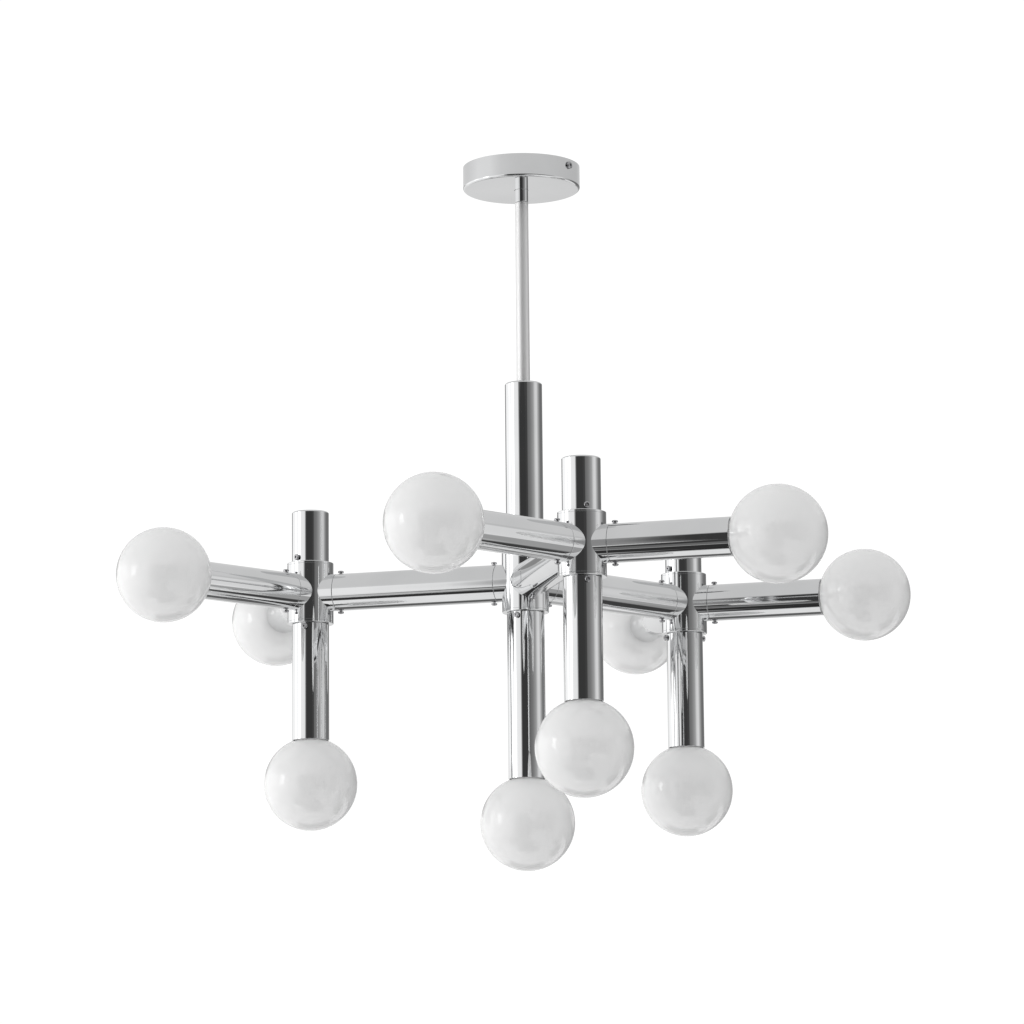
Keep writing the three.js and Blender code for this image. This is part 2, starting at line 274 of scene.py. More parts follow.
def piece(name, skin, materials, body, nodes):
    """Makes a finished piece that rides on a body and stands for CAD nodes."""
    made = bpy.data.objects.new(name, skin.mesh(name, materials))
    bpy.context.scene.collection.objects.link(made)
    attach(made, body)
    if nodes:
        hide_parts(*nodes)


# ---------------------------------------------------------------- materials


def material(name):
    made = bpy.data.materials.new(name)
    made.use_nodes = True
    nodes, links = made.node_tree.nodes, made.node_tree.links
    return made, nodes, links, nodes["Principled BSDF"]


def noise(nodes, links, scale, detail, stretch=(1, 1, 1)):
    """A noise texture in object space, stretched along the axes."""
    place = nodes.new("ShaderNodeTexCoord")
    mapping = nodes.new("ShaderNodeMapping")
    mapping.inputs["Scale"].default_value = stretch
    texture = nodes.new("ShaderNodeTexNoise")
    texture.inputs["Scale"].default_value = scale
    texture.inputs["Detail"].default_value = detail
    links.new(place.outputs["Object"], mapping.inputs["Vector"])
    links.new(mapping.outputs["Vector"], texture.inputs["Vector"])
    return texture


def ranged(nodes, links, source, low, high, start=0.3, end=0.7):
    """Maps a noise value onto a range."""
    mapped = nodes.new("ShaderNodeMapRange")
    mapped.inputs["From Min"].default_value = start
    mapped.inputs["From Max"].default_value = end
    mapped.inputs["To Min"].default_value = low
    mapped.inputs["To Max"].default_value = high
    links.new(source, mapped.inputs["Value"])
    return mapped.outputs["Result"]


def tinted(nodes, links, source, dark, light):
    ramp = nodes.new("ShaderNodeValToRGB")
    ramp.color_ramp.elements[0].position = 0.35
    ramp.color_ramp.elements[0].color = (*dark, 1)
    ramp.color_ramp.elements[1].position = 0.65
    ramp.color_ramp.elements[1].color = (*light, 1)
    links.new(source, ramp.inputs["Fac"])
    return ramp.outputs["Color"]


def bumped(nodes, links, bsdf, source, strength, distance):
    bump = nodes.new("ShaderNodeBump")
    bump.inputs["Strength"].default_value = strength
    bump.inputs["Distance"].default_value = distance
    links.new(source, bump.inputs["Height"])
    links.new(bump.outputs["Normal"], bsdf.inputs["Normal"])


def metal(name, dark, light, rough, scale, bump, stretch=(1, 1, 1)):
    """A metal with fine mottling in its colour, gloss and surface."""
    made, nodes, links, bsdf = material(name)
    bsdf.inputs["Metallic"].default_value = 1.0
    cloud = noise(nodes, links, scale, 4, stretch)
    grain = noise(nodes, links, scale * 9, 3, stretch)
    links.new(tinted(nodes, links, cloud.outputs["Fac"], dark, light), bsdf.inputs["Base Color"])
    links.new(ranged(nodes, links, grain.outputs["Fac"], *rough), bsdf.inputs["Roughness"])
    bumped(nodes, links, bsdf, grain.outputs["Fac"], bump, 0.0001)
    return made


def opal(name):
    """Opal glass: milky, very faintly clouded, with a clear glossy skin."""
    made, nodes, links, bsdf = material(name)
    cloud = noise(nodes, links, 22, 3)
    ripple = noise(nodes, links, 45, 2)
    milk = tinted(nodes, links, cloud.outputs["Fac"], (0.9, 0.902, 0.902), (0.93, 0.93, 0.928))
    links.new(milk, bsdf.inputs["Base Color"])
    links.new(ranged(nodes, links, cloud.outputs["Fac"], 0.1, 0.16), bsdf.inputs["Roughness"])
    bsdf.inputs["IOR"].default_value = 1.5
    bsdf.inputs["Subsurface Weight"].default_value = 1.0
    bsdf.inputs["Subsurface Radius"].default_value = (0.04, 0.04, 0.04)
    bsdf.inputs["Subsurface Scale"].default_value = 1.0
    bsdf.inputs["Coat Weight"].default_value = 0.6
    bsdf.inputs["Coat Roughness"].default_value = 0.03
    bumped(nodes, links, bsdf, ripple.outputs["Fac"], 0.04, 0.0004)
    return made


def moulded(name, dark, light, rough, scale, bump):
    """A moulded or fired material with a fine grain."""
    made, nodes, links, bsdf = material(name)
    cloud = noise(nodes, links, scale, 4)
    grain = noise(nodes, links, scale * 12, 2)
    links.new(tinted(nodes, links, cloud.outputs["Fac"], dark, light), bsdf.inputs["Base Color"])
    links.new(ranged(nodes, links, cloud.outputs["Fac"], *rough), bsdf.inputs["Roughness"])
    bumped(nodes, links, bsdf, grain.outputs["Fac"], bump, 0.0002)
    return made


CHROME = metal("polished_chrome", (0.69, 0.695, 0.7), (0.735, 0.74, 0.745),
               rough=(0.015, 0.05), scale=14, bump=0.02)
SATIN = metal("satin_chrome", (0.8, 0.8, 0.8), (0.83, 0.83, 0.83),
              rough=(0.4, 0.48), scale=60, bump=0.01, stretch=(1, 1, 0.15))
OPAL = opal("opal_glass")
STEEL = metal("screw_steel", (0.38, 0.38, 0.39), (0.46, 0.46, 0.47),
              rough=(0.08, 0.18), scale=300, bump=0.1)
ZINC = metal("zinc_plate", (0.5, 0.52, 0.54), (0.68, 0.69, 0.7),
             rough=(0.3, 0.5), scale=70, bump=0.3)
BRASS = metal("lamp_cap_metal", (0.68, 0.66, 0.6), (0.8, 0.78, 0.74),
              rough=(0.15, 0.3), scale=120, bump=0.1)
PORCELAIN = moulded("holder_porcelain", (0.78, 0.76, 0.71), (0.86, 0.85, 0.81),
                    rough=(0.4, 0.55), scale=90, bump=0.2)
PLASTIC = moulded("terminal_plastic", (0.78, 0.78, 0.75), (0.85, 0.85, 0.82),
                  rough=(0.28, 0.4), scale=120, bump=0.15)


# ---------------------------------------------------------------- tubes


def tube_skin(start, end):
    points = ring(TUBE_RADIUS - TUBE_WALL, TUBE_RADIUS, start, end)
    return Skin().turn(outline(points, {1: 0.25, 2: 0.3, 3: 0.15}))


def capped_skin(start, end, hole, edge):
    """A tube whose far end is closed by a cap with a rounded edge, around a hole if there is one."""
    bore = TUBE_RADIUS - TUBE_WALL
    cap_thickness = 3
    inside = end - cap_thickness
    points = [
        (hole, inside), (bore, inside), (bore, start),
        (TUBE_RADIUS, start), (TUBE_RADIUS, end), (hole, end),
    ]
    rounding = {3: 0.25, 4: edge}
    if hole:
        rounding[5] = 0.2
    return Skin().turn(outline(points, rounding, closed=bool(hole)))


def hex_radius(across):
    """The radius of a hexagon's edge at an angle; across is its corner radius."""
    flat = across * math.cos(math.pi / 6)

    def at(angle):
        return flat / math.cos((angle % (math.pi / 3)) - math.pi / 6)

    return at


def button_skin(radius, height, shank, length, stand, hexagon):
    """A button head screw along +Z. Its shank shows for stand under the head."""
    flat_share, lip_share, floor_share, tip_share = 0.62, 0.45, 0.35, 0.3
    top = radius * flat_share
    lip = height * lip_share
    skin = Skin()
    dome = []
    steps = 8
    for step in range(steps + 1):
        angle = math.pi / 2 * step / steps
        point = (top + (radius - top) * math.cos(angle), stand + lip + (height - lip) * math.sin(angle))
        normal = Vector((math.cos(angle) * (height - lip), math.sin(angle) * (radius - top))).normalized()
        dome.append((point, tuple(normal)))
    points = [(0, -length), (shank, -length), (shank, stand), (radius, stand), (radius, stand + lip)]
    skin.turn(outline(points, closed=False), SCREW_SIDES)
    skin.turn([dome], SCREW_SIDES)
    rim = skin.ring(top, stand + height, SCREW_SIDES)
    mouth = skin.ring(hex_radius(hexagon), stand + height, SCREW_SIDES)
    floor = skin.ring(hex_radius(hexagon), stand + height * floor_share, SCREW_SIDES)
    skin.band(rim, mouth, SCREW_SIDES)
    skin.band(mouth, floor, SCREW_SIDES)
    skin.band(floor, skin.ring(0, stand + height * tip_share, SCREW_SIDES), SCREW_SIDES)
    return skin


TUBE_SCREW = button_skin(radius=3.0, height=2.0, shank=1.5, length=4.5, stand=1.2, hexagon=1.3)


def screw_pair(place):
    """Two screws on opposite sides of a tube, in its limb's frame."""
    pair = Skin()
    for sign in (1, -1):
        lift = Matrix.Translation((0, 0, place)) @ Matrix.Rotation(sign * math.pi / 2, 4, "Y")
        pair.add(TUBE_SCREW.placed(lift @ Matrix.Translation((0, 0, TUBE_RADIUS))))
    return pair


def make_level_tube(node, origin, outward, start, end, screw_places, screw_nodes):
    matrix = limb(origin, outward, UP)
    tube = tube_skin(start, end).placed(matrix)
    piece(f"{node}_chrome", tube, [CHROME], "fixture", [node])
    screws = Skin()
    for place in screw_places:
        screws.add(screw_pair(place))
    piece(f"{node}_screws", screws.placed(matrix), [STEEL], "fixture", screw_nodes)


def make_upright_tube(node, origin, outward, skin):
    matrix = limb(origin, outward, compass(UPRIGHT_SCREWS[node]))
    piece(f"{node}_chrome", skin.placed(matrix), [CHROME], "fixture", [node])
    screws = screw_pair(SCREW_ON_SLEEVE)
    piece(f"{node}_screws", screws.placed(matrix), [STEEL], "fixture", [])


def make_tubes():
    top_edge, stem_edge = 1.6, 1.8
    link_start = STUB_REACH + GAP
    sleeve_end = SLEEVE_HALF + GAP
    for name in ("front", "right", "left"):
        reach = (HUBS[name] - HUBS["center"]).length / MM
        places = [SCREW_ON_STUB, reach - SCREW_ON_STUB]
        make_level_tube(f"link_tube_{name}", HUBS["center"], HUBS[name] - HUBS["center"],
                        link_start, reach - link_start, places, [])
        top = (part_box(f"top_tube_{name}")[1].z - HUB_PLANE) / MM
        make_upright_tube(f"top_tube_{name}", HUBS[name], UP, capped_skin(sleeve_end, top, 0, top_edge))
    stem_top = (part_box("stem_tube")[1].z - HUB_PLANE) / MM
    rod_low, rod_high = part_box("rod_collar")
    rod_hole = (rod_high.x - rod_low.x) / 2 / MM + GAP
    stem = capped_skin(sleeve_end, stem_top, rod_hole, stem_edge)
    make_upright_tube("stem_tube", HUBS["center"], UP, stem)
    for name, (globe, outward) in LAMPS.items():
        hub = HUBS[name.split("_")[0]]
        end = (globe - hub).length / MM - TUBE_END_BACK
        if name.endswith("_drop"):
            node = f"drop_tube_{name[:-len('_drop')]}"
            make_upright_tube(node, hub, outward, tube_skin(sleeve_end, end))
        else:
            make_level_tube(f"arm_tube_{name}", hub, outward, link_start, end, [SCREW_ON_STUB],
                            [f"arm_screw_{name}_top", f"arm_screw_{name}_bottom"])


# ---------------------------------------------------------------- hubs


def sleeve_runs():
    """The upright sleeve with a fine groove near each end, and its two spigots."""
    groove, depth, place = 0.35, 0.3, SLEEVE_HALF - 2.6
    groove_floor = SLEEVE_RADIUS - depth
    points = [
        (0, -SPIGOT_REACH), (SPIGOT_RADIUS, -SPIGOT_REACH), (SPIGOT_RADIUS, -SLEEVE_HALF),
        (SLEEVE_RADIUS, -SLEEVE_HALF),
        (SLEEVE_RADIUS, -place - groove), (groove_floor, -place - groove / 2), (SLEEVE_RADIUS, -place),
        (SLEEVE_RADIUS, place), (groove_floor, place + groove / 2), (SLEEVE_RADIUS, place + groove),
        (SLEEVE_RADIUS, SLEEVE_HALF),
        (SPIGOT_RADIUS, SLEEVE_HALF), (SPIGOT_RADIUS, SPIGOT_REACH), (0, SPIGOT_REACH),
    ]
    return outline(points, {1: 0.5, 3: 0.6, 10: 0.6, 12: 0.5}, closed=False)


def stub_runs():
    """A level stub from near the hub's middle, and its spigot."""
    root = 2
    points = [
        (0, root), (TUBE_RADIUS, root), (TUBE_RADIUS, STUB_REACH),
        (SPIGOT_RADIUS, STUB_REACH), (SPIGOT_RADIUS, SPIGOT_REACH), (0, SPIGOT_REACH),
    ]
    return outline(points, {2: 0.3, 4: 0.5}, closed=False)


def profile_normal(runs, radius, height, out, along):
    """The stretch of a profile that a face lies on: the nearest one that faces the face's own way."""
    facing_weight = 0.2
    best, found = None, None
    for run in runs:
        for (a, na), (b, nb) in zip(run, run[1:]):
            ax, ay = a
            dx, dy = b[0] - ax, b[1] - ay
            length = dx * dx + dy * dy
            if length < 1e-12:
                continue
            share = max(0.0, min(1.0, ((radius - ax) * dx + (height - ay) * dy) / length))
            off = math.hypot(radius - ax - dx * share, height - ay - dy * share)
            facing = out * (na[0] + nb[0]) / 2 + along * (na[1] + nb[1]) / 2
            cost = off + facing_weight * (1 - facing)
            if best is None or cost < best:
                best, found = cost, (a, na, b, nb)
    return found


def joined_hub():
    """The union of the sleeve and three stubs, with each face's exact normals, as a Skin."""
    parts = [(sleeve_runs(), Matrix.Identity(4))]
    for k in range(3):
        stub = limb(Vector((0, 0, 0)), compass(120 * k), UP)
        parts.append((stub_runs(), stub @ Matrix.Scale(1 / MM, 4)))
    dummies = [bpy.data.materials.new(f"hub_part_{k}") for k in range(len(parts))]
    objects = []
    for k, (runs, matrix) in enumerate(parts):
        skin = Skin().turn(runs, look=k).placed(matrix)
        made = bpy.data.objects.new(f"hub_source_{k}", skin.mesh(f"hub_source_{k}", dummies))
        bpy.context.scene.collection.objects.link(made)
        objects.append(made)
    base = objects[0]
    for other in objects[1:]:
        union = base.modifiers.new("union", "BOOLEAN")
        union.operation = "UNION"
        union.solver = "EXACT"
        union.material_mode = "INDEX"
        union.object = other
    bpy.context.view_layer.update()
    result = base.evaluated_get(bpy.context.evaluated_depsgraph_get()).to_mesh()
    joined = Skin()
    joined.points = [v.co.copy() for v in result.vertices]
    inverses = [matrix.inverted() for _, matrix in parts]
    for polygon in result.polygons:
        runs, matrix = parts[polygon.material_index]
        inverse = inverses[polygon.material_index]
        turn = matrix.to_quaternion()
        corners = [inverse @ result.vertices[v].co for v in polygon.vertices]
        centre = sum(corners, Vector()) / len(corners)
        facing = inverse.to_quaternion() @ polygon.normal
        radius = math.hypot(centre.x, centre.y)
        out = (facing.x * centre.x + facing.y * centre.y) / max(radius, 1e-9)
        (a, na, b, nb) = profile_normal(runs, radius, centre.z, out, facing.z)
        dx, dy = b[0] - a[0], b[1] - a[1]
        joined.faces.append(list(polygon.vertices))
        joined.looks.append(0)
        for corner in corners:
            r = math.hypot(corner.x, corner.y)
            share = max(0.0, min(1.0, ((r - a[0]) * dx + (corner.z - a[1]) * dy) / (dx * dx + dy * dy)))
            n_out, n_along = (na[i] + (nb[i] - na[i]) * share for i in (0, 1))
            x, y = (corner.x / r, corner.y / r) if r > 1e-6 else (1, 0)
            joined.normals.append(turn @ Vector((n_out * x, n_out * y, n_along)).normalized())
    base.to_mesh_clear()
    for made in objects:
        mesh = made.data
        bpy.data.objects.remove(made)
        bpy.data.meshes.remove(mesh)
    for dummy in dummies:
        bpy.data.materials.remove(dummy)
    return joined


def make_hubs():
    shape = joined_hub()
    for name, place in HUBS.items():
        inward = HUBS["center"] - place if name != "center" else HUBS["front"] - place
        hub = shape.placed(limb(place, UP, inward))
        piece(f"hub_{name}_chrome", hub, [CHROME], "fixture", [f"hub_{name}"])


# ---------------------------------------------------------------- lamps


def bulb_skin():
    """A globe with its neck in opal glass, and a threaded metal cap."""
    neck, neck_end = 16.3, -58.0
    cap, cap_start, cap_end = 13.2, -66.0, -88.0
    contact_radius, contact_base, tip = 5.0, cap_end - 1, -91.0
    cap_base = cap - 2
    thread, ridges, steps_per_ridge = 0.6, 5, 10
    lip = 0.6
    skin = Skin()
    contact_points = [(0, tip), (contact_radius, tip), (contact_radius, contact_base), (cap_base, cap_end)]
    contact = outline(contact_points, {1: 0.8}, closed=False)
    threads = []
    low, high = cap_end + 1.0, cap_start - 2.0
    steps = ridges * steps_per_ridge
    for step in range(steps + 1):
        turn = 2 * math.pi * ridges * step / steps
        height = low + (high - low) * step / steps
        slope = thread / 2 * math.sin(turn) * 2 * math.pi * ridges / (high - low)
        normal = Vector((1, -slope)).normalized()
        threads.append(((cap - thread / 2 - thread / 2 * math.cos(turn), height), tuple(normal)))
    skin.turn(contact, look=1)
    skin.turn(outline([(cap_base, cap_end), (cap - thread, low)], closed=False), look=1)
    skin.turn([threads], look=1)
    skin.turn(outline([(cap - thread, high), (cap, high + lip), (cap, cap_start)], closed=False), look=1)
    shoulder = math.degrees(math.asin(neck / GLOBE_RADIUS))
    skin.turn(outline([(cap, cap_start), (neck, neck_end)], closed=False))
    drop = -GLOBE_RADIUS * math.cos(math.radians(shoulder))
    skin.turn(outline([(neck, neck_end), (neck, drop)], closed=False))
    skin.turn([arc_run((0, 0), GLOBE_RADIUS, shoulder - 90, 90, 72)])
    return skin


def holder_skin():
    """The porcelain cup that takes the bulb's cap."""
    wire_hole, outer, bore = 3, 17.1, 14
    bottom, floor, mouth = -108, -92.2, -66
    points = [
        (wire_hole, bottom), (outer, bottom), (outer, mouth),
        (bore, mouth), (bore, floor), (wire_hole, floor),
    ]
    return Skin().turn(outline(points, {1: 1.2, 2: 0.8, 3: 0.6, 4: 1.0}), HOLDER_SIDES)


def make_lamps():
    bulb, holder = bulb_skin(), holder_skin()
    for name, (globe, outward) in LAMPS.items():
        side = UP if abs(outward.z) < 0.5 else compass(0)
        matrix = limb(globe, outward, side)
        piece(f"bulb_{name}_glass", bulb.placed(matrix), [OPAL, BRASS], f"bulb_{name}",
              [f"bulb_{name}"])
        piece(f"lamp_holder_{name}_cup", holder.placed(matrix), [PORCELAIN], "fixture",
              [f"lamp_holder_{name}"])


# ---------------------------------------------------------------- ceiling fitting


def make_canopy():
    low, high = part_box("canopy")
    radius = (high.x - low.x) / 2 / MM
    bottom, top = low.z / MM, high.z / MM
    wall, hole = 1.2, 7.2
    points = [
        (hole, bottom), (radius, bottom), (radius, top),
        (radius - wall, top), (radius - wall, bottom + wall), (hole, bottom + wall),
    ]
    skin = Skin().turn(outline(points, {0: 0.3, 1: 2.4, 2: 0.3, 3: 0.3, 4: 1.2}), 2 * SIDES)
    matrix = Matrix.Scale(MM, 4)
    piece("canopy_chrome", skin.placed(matrix), [CHROME], "canopy", ["canopy"])
    shape = button_skin(radius=3.8, height=2.2, shank=2.0, length=3.6, stand=0.3, hexagon=1.7)
    for side in ("right", "left"):
        node = f"canopy_screw_{side}"
        place = middle(node)
        outward = Vector((place.x, place.y, 0)).normalized()
        seat = outward * radius * MM + UP * place.z
        screw = shape.placed(limb(seat, outward, UP))
        piece(f"{node}_steel", screw, [STEEL], "canopy", [node])


def make_rod():
    """The hanging rod, with its flange in the stem and its nipple in the bracket, and the collar."""
    collar_bore, rod_bore, nipple_bore = 5.3, 5.5, 3.6
    flange, flange_thickness = 10, 3
    nipple, step = 5, 3
    low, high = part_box("rod_collar")
    radius = (high.x - low.x) / 2 / MM
    matrix = Matrix.Scale(MM, 4)
    bottom, top = low.z / MM, high.z / MM
    collar = outline(ring(collar_bore, radius, bottom, top), {1: 0.5, 2: 0.5})
    collar_skin = Skin().turn(collar, ROD_SIDES).placed(matrix)
    piece("rod_collar_chrome", collar_skin, [CHROME], "fixture", ["rod_collar"])
    rod_low, rod_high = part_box("rod")
    flange_bottom = rod_low.z / MM
    flange_top = flange_bottom + flange_thickness
    shoulder = bottom - GAP
    nipple_top = rod_high.z / MM
    points = [
        (rod_bore, flange_bottom), (flange, flange_bottom), (flange, flange_top), (radius, flange_top),
        (radius, shoulder), (nipple, shoulder), (nipple, nipple_top), (nipple_bore, nipple_top),
        (nipple_bore, shoulder - step), (rod_bore, shoulder - step),
    ]
    rod = outline(points, {1: 0.4, 2: 0.4, 4: 0.5, 6: 0.3})
    rod_skin = Skin().turn(rod, ROD_SIDES).placed(matrix)
    piece("rod_satin", rod_skin, [SATIN], "fixture", ["rod"])


def make_edged(node, look, bevel):
    """A piece in a CAD node's own shape, with slightly broken edges."""
    data = frame["nodes"][node].data.copy()
    data.materials.clear()
    data.materials.append(look)
    made = bpy.data.objects.new(f"{node}_edged", data)
    bpy.context.scene.collection.objects.link(made)
    edge = made.modifiers.new("edges", "BEVEL")
    edge.width = bevel * MM
    edge.segments = 2
    edge.angle_limit = math.radians(40)
    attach(made, "fixture")
    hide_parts(node)


# ---------------------------------------------------------------- studio


def glow(name, strength):
    made = bpy.data.materials.new(name)
    made.use_nodes = True
    nodes, links = made.node_tree.nodes, made.node_tree.links
    nodes.clear()
    shine = nodes.new("ShaderNodeEmission")
    shine.inputs["Strength"].default_value = strength
    shine.inputs["Color"].default_value = (1, 1, 1, 1)
    output = nodes.new("ShaderNodeOutputMaterial")
    links.new(shine.outputs["Emission"], output.inputs["Surface"])
    return made, nodes, links, shine


def stage_mesh(name, points, faces, look):
    data = bpy.data.meshes.new(name)
    data.from_pydata(points, [], faces)
    data.materials.append(look)
    made = bpy.data.objects.new(name, data)
    bpy.context.scene.collection.objects.link(made)
    made.visible_camera = False
    return made


CAMERA_AZIMUTH = -13.77
STUDIO_RADIUS = 6.0
STUDIO_TOP = 2.2
FLOOR = -2.6
CEILING_LEVEL = 0.74
DARK_CARD_STEP = 0.05
WALL_CARD_GAP = 0.2
CARD_LIFT = 0.01


def from_camera(degrees, distance, height):
    """A place in the studio, by its angle to the right of the camera as the object sees it."""
    angle = math.radians(CAMERA_AZIMUTH + degrees)
    return Vector((distance * math.sin(angle), -distance * math.cos(angle), height))


# How bright the wall of the light tent is, by the angle to the right of the camera
TENT_WALL = [
    (-180, 0.78), (-140, 1.0), (-130, 1.25), (-68, 1.3), (-56, 1.1), (-36, 1.05), (-34, 0.95),
    (-32.5, 0.38), (-28, 0.3), (-20, 0.1), (14, 0.06), (20, 0.07), (23, 0.18), (40, 0.25), (52, 0.36),
    (62, 0.46), (72, 0.8), (86, 0.9), (98, 0.55), (108, 0.36), (118, 0.22), (140, 0.18), (152, 0.24),
    (166, 0.35), (174, 0.7), (180, 0.78),
]
TENT_TOP = [
    (-180, 0.72), (-130, 0.8), (-95, 0.95), (-64, 0.92), (-40, 0.77), (-20, 0.73), (40, 0.7), (100, 0.66),
    (140, 0.6), (180, 0.72),
]


def level_at(table, degrees):
    for (a, low), (b, high) in zip(table, table[1:]):
        if a <= degrees <= b:
            return low + (high - low) * (degrees - a) / (b - a)
    return table[-1][1]


def make_tent():
    """A tall ring of soft light and grey card around the object, and a soft ceiling over it."""
    look, nodes, links, shine = glow("tent_wall", 1.0)
    attribute = nodes.new("ShaderNodeAttribute")
    attribute.attribute_name = "light"
    links.new(attribute.outputs["Color"], shine.inputs["Color"])
    steps = 360
    wall_top, shade_bottom = 1.1, 1.5
    rows = [(FLOOR, TENT_WALL), (wall_top, TENT_WALL), (shade_bottom, TENT_TOP), (STUDIO_TOP, TENT_TOP)]
    points, faces, light = [], [], []
    for i in range(steps + 1):
        degrees = -180 + 360 * i / steps
        for height, table in rows:
            points.append(from_camera(degrees, STUDIO_RADIUS, height))
            light.append(level_at(table, degrees))
    for i in range(steps):
        for k in range(len(rows) - 1):
            a, b = i * len(rows) + k, (i + 1) * len(rows) + k
            faces.append((a, b, b + 1, a + 1))
    wall = stage_mesh("tent_wall", points, faces, look)
    values = wall.data.attributes.new("light", "FLOAT_COLOR", "POINT")
    for i, level in enumerate(light):
        values.data[i].color = (level, level, level, 1)
    rim = [from_camera(360 * i / steps, STUDIO_RADIUS, STUDIO_TOP) for i in range(steps)]
    stage_mesh("tent_ceiling", rim, [tuple(range(steps))], glow("tent_ceiling", CEILING_LEVEL)[0])


def soft_edges(nodes, links, share):
    """How far in from its nearest edge a card is, as a smooth step over a share of its size."""
    place = nodes.new("ShaderNodeTexCoord")
    split = nodes.new("ShaderNodeSeparateXYZ")
    links.new(place.outputs["UV"], split.inputs["Vector"])
    steps = []
    for axis in ("X", "Y"):
        for high in (False, True):
            ramp = nodes.new("ShaderNodeMapRange")
            ramp.interpolation_type = "SMOOTHSTEP"
            ramp.inputs["From Min"].default_value = 1.0 if high else 0.0
            ramp.inputs["From Max"].default_value = 1.0 - share if high else share
            links.new(split.outputs[axis], ramp.inputs["Value"])
            steps.append(ramp.outputs["Result"])
    for _ in range(3):
        product = nodes.new("ShaderNodeMath")
        product.operation = "MULTIPLY"
        links.new(steps.pop(), product.inputs[0])
        links.new(steps.pop(), product.inputs[1])
        steps.append(product.outputs["Value"])
    return steps[0]


def card(name, centre, across, up, level, softness=0.15):
    """A card of one grey that fades away at its edges."""
    look, nodes, links, shine = glow(name, level)
    clear = nodes.new("ShaderNodeBsdfTransparent")
    mix = nodes.new("ShaderNodeMixShader")
    links.new(soft_edges(nodes, links, softness), mix.inputs["Fac"])
    links.new(clear.outputs["BSDF"], mix.inputs[1])
    links.new(shine.outputs["Emission"], mix.inputs[2])
    links.new(mix.outputs["Shader"], nodes["Material Output"].inputs["Surface"])
    signs = ((-1, -1), (1, -1), (1, 1), (-1, 1))
    corners = [centre + across * a + up * b for a, b in signs]
    made = stage_mesh(name, corners, [(0, 1, 2, 3)], look)
    layer = made.data.uv_layers.new(name="UVMap")
    for i, (a, b) in enumerate(signs):
        layer.data[i].uv = ((a + 1) / 2, (b + 1) / 2)


# The dark cards behind the camera: how low and how high each one reaches, and how bright it is
DARK_CARDS = [
    ("dark_side", FLOOR - 0.4, 0.98, 0.05),
    ("dark_side_top", 0.7, 1.15, 0.42),
]
# The cards by the wall: the angle and height of each one's middle, half its sizes, and how bright it is
WALL_CARDS = [
    ("left_back", -158, 0.75, 1.9, 0.5, 0.3),
    ("window_left", -98, 0.1, 0.7, 1.1, 1.8),
    ("window_right", -73, 0.1, 0.7, 1.1, 3.4),
]
# Grey cards on the studio floor: how far right of the object and how far towards the camera each one's
# middle is, half its sizes that way, and how bright it is
FLOOR_CARDS = {
    "back_pale": (0.0, -4.2, 1.6, 1.6, 0.5),
    "back_shade": (-0.1, -2.0, 1.1, 0.95, 0.13),
    "front_strip": (0.03, 1.08, 0.93, 0.84, 0.03),
    "front_strip_left": (-1.2, 1.38, 0.85, 0.56, 0.035),
    "front_grey": (-0.75, 2.5, 1.3, 0.75, 0.17),
    "front_pale": (-2.5, 2.5, 0.9, 0.85, 0.62),
    # A near-black card on the floor, between the object and the camera, that darkens that stretch of the
    # floor
    "dark_floor_card": (-0.8, 3.85, 2.1, 1.15, 0.045),
    "right_patch": (2.15, -1.05, 1.0, 0.75, 0.06),
    "right_grey": (4.2, -0.8, 1.6, 0.4, 0.33),
    "right_pale": (3.7, -0.2, 1.8, 0.55, 0.42),
}


def make_cards():
    """The dark side of the studio behind the camera, two bright windows, and the cards on the floor."""
    right = from_camera(90, 1, 0)
    ahead = from_camera(0, 1, 0)
    left_edge, right_edge, distance = -2.56, 0.85, 4.6
    centre = from_camera(0, distance, 0) + right * (left_edge + right_edge) / 2
    half = right * (right_edge - left_edge) / 2
    for name, low, high, level in DARK_CARDS:
        card(name, centre + UP * (low + high) / 2, half, UP * (high - low) / 2, level, softness=0.06)
        centre += ahead * DARK_CARD_STEP
    for name, degrees, height, reach, half_height, level in WALL_CARDS:
        place = from_camera(degrees, STUDIO_RADIUS - WALL_CARD_GAP, height)
        card(name, place, from_camera(degrees + 90, reach, 0), UP * half_height, level)
    for lift, (name, (x, y, half_x, half_y, level)) in enumerate(FLOOR_CARDS.items(), 1):
        place = right * x + ahead * y + UP * (FLOOR + CARD_LIFT * lift)
        card(name, place, right * half_x, ahead * half_y, level, softness=0.18)


def make_fill():
    """A broad soft light behind the camera that fills the matt surfaces and isn't seen in the chrome."""
    degrees, distance, height = -12, 3.5, HUB_PLANE - 0.3
    data = bpy.data.lights.new("front_fill", "AREA")
    data.size = 2.0
    data.energy = 17.0
    fill = bpy.data.objects.new("front_fill", data)
    bpy.context.scene.collection.objects.link(fill)
    place = from_camera(degrees, distance, height)
    aim = (place - HUBS["center"]).to_track_quat("Z", "Y")
    fill.matrix_world = Matrix.Translation(place) @ aim.to_matrix().to_4x4()
    fill.visible_glossy = False
    fill.visible_camera = False


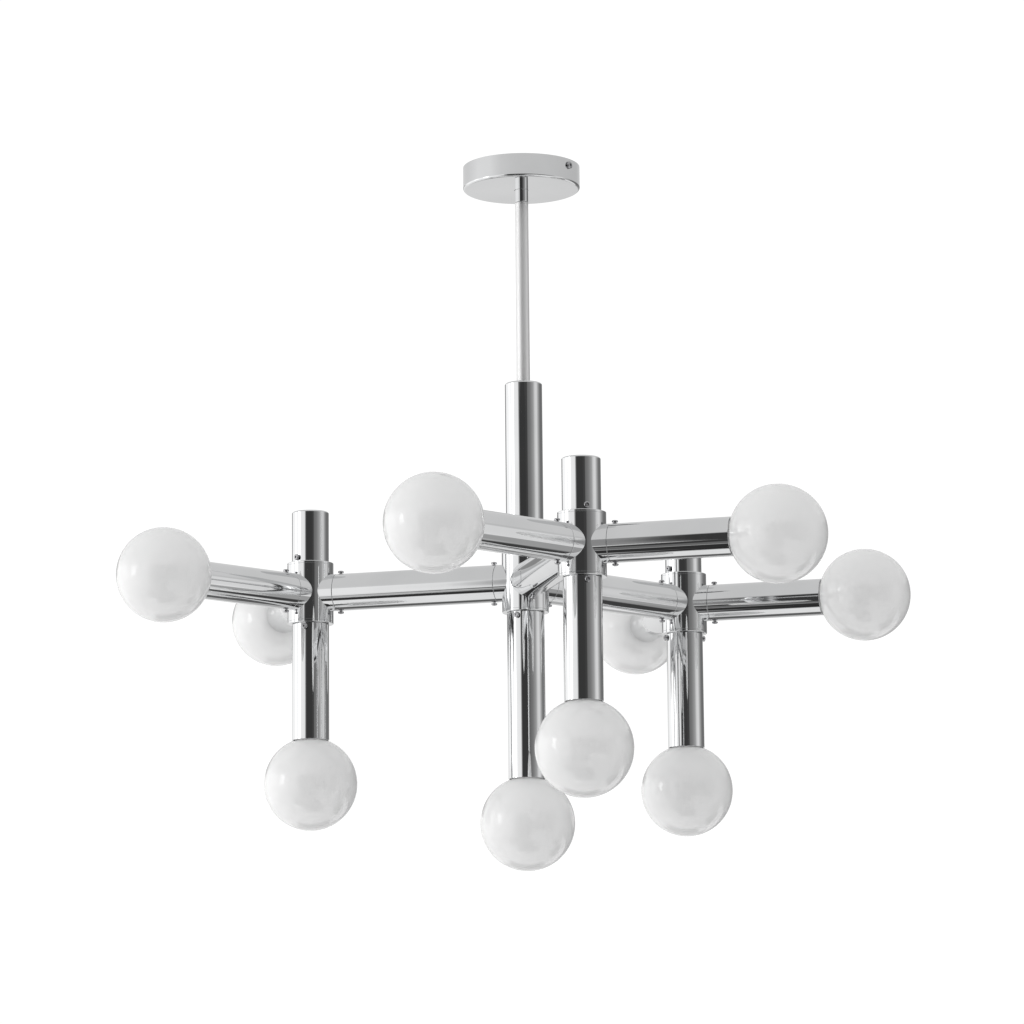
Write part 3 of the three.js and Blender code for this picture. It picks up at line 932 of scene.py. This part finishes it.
def make_floor():
    """A pale floor that is clear from underneath, so that the lamp can be seen from below."""
    made, nodes, links, bsdf = material("pale_floor")
    cloud = noise(nodes, links, 1.5, 3)
    links.new(tinted(nodes, links, cloud.outputs["Fac"], (0.15, 0.15, 0.15), (0.17, 0.17, 0.17)),
              bsdf.inputs["Base Color"])
    bsdf.inputs["Roughness"].default_value = 0.9
    bsdf.inputs["Specular IOR Level"].default_value = 0.0
    bsdf.inputs["Emission Color"].default_value = (1, 1, 1, 1)
    bsdf.inputs["Emission Strength"].default_value = 0.86
    face = nodes.new("ShaderNodeNewGeometry")
    clear = nodes.new("ShaderNodeBsdfTransparent")
    mix = nodes.new("ShaderNodeMixShader")
    links.new(face.outputs["Backfacing"], mix.inputs["Fac"])
    links.new(bsdf.outputs["BSDF"], mix.inputs[1])
    links.new(clear.outputs["BSDF"], mix.inputs[2])
    links.new(mix.outputs["Shader"], nodes["Material Output"].inputs["Surface"])
    half = STUDIO_RADIUS * 2
    points = [Vector((x * half, y * half, FLOOR)) for x, y in ((-1, -1), (1, -1), (1, 1), (-1, 1))]
    floor = stage_mesh("pale_floor", points, [(0, 1, 2, 3)], made)
    floor.visible_camera = True


def make_world():
    world = bpy.data.worlds.new("white_room")
    world.use_nodes = True
    backdrop = world.node_tree.nodes["Background"]
    backdrop.inputs["Color"].default_value = (1, 1, 1, 1)
    backdrop.inputs["Strength"].default_value = 1.05
    bpy.context.scene.world = world
    bpy.context.scene.view_settings.view_transform = "Standard"
    bpy.context.scene.view_settings.look = "None"


def make_camera():
    """The camera stands below the hubs and looks up, a little turned and rolled as it was by hand."""
    distance, drop = 4.266, 0.6785
    pitch, roll, yaw = math.radians(9.98), math.radians(-0.54), math.radians(0.173)
    data = bpy.data.cameras.new("camera")
    data.lens = 150.0
    data.sensor_width = 36.0
    data.clip_start, data.clip_end = 0.05, 60.0
    camera = bpy.data.objects.new("camera", data)
    bpy.context.scene.collection.objects.link(camera)
    turn = Matrix.Rotation(math.radians(CAMERA_AZIMUTH) + yaw, 4, "Z")
    tilt = Matrix.Rotation(math.pi / 2 + pitch, 4, "X") @ Matrix.Rotation(roll, 4, "Z")
    camera.matrix_world = Matrix.Translation(from_camera(0, distance, HUB_PLANE - drop)) @ turn @ tilt
    bpy.context.scene.camera = camera


make_camera()
make_world()
make_tent()
make_cards()
make_fill()
make_floor()
make_hubs()
make_tubes()
make_lamps()
make_canopy()
make_rod()
make_edged("mounting_bracket", ZINC, bevel=0.35)
make_edged("terminal_block", PLASTIC, bevel=0.3)

bpy.context.view_layer.update()
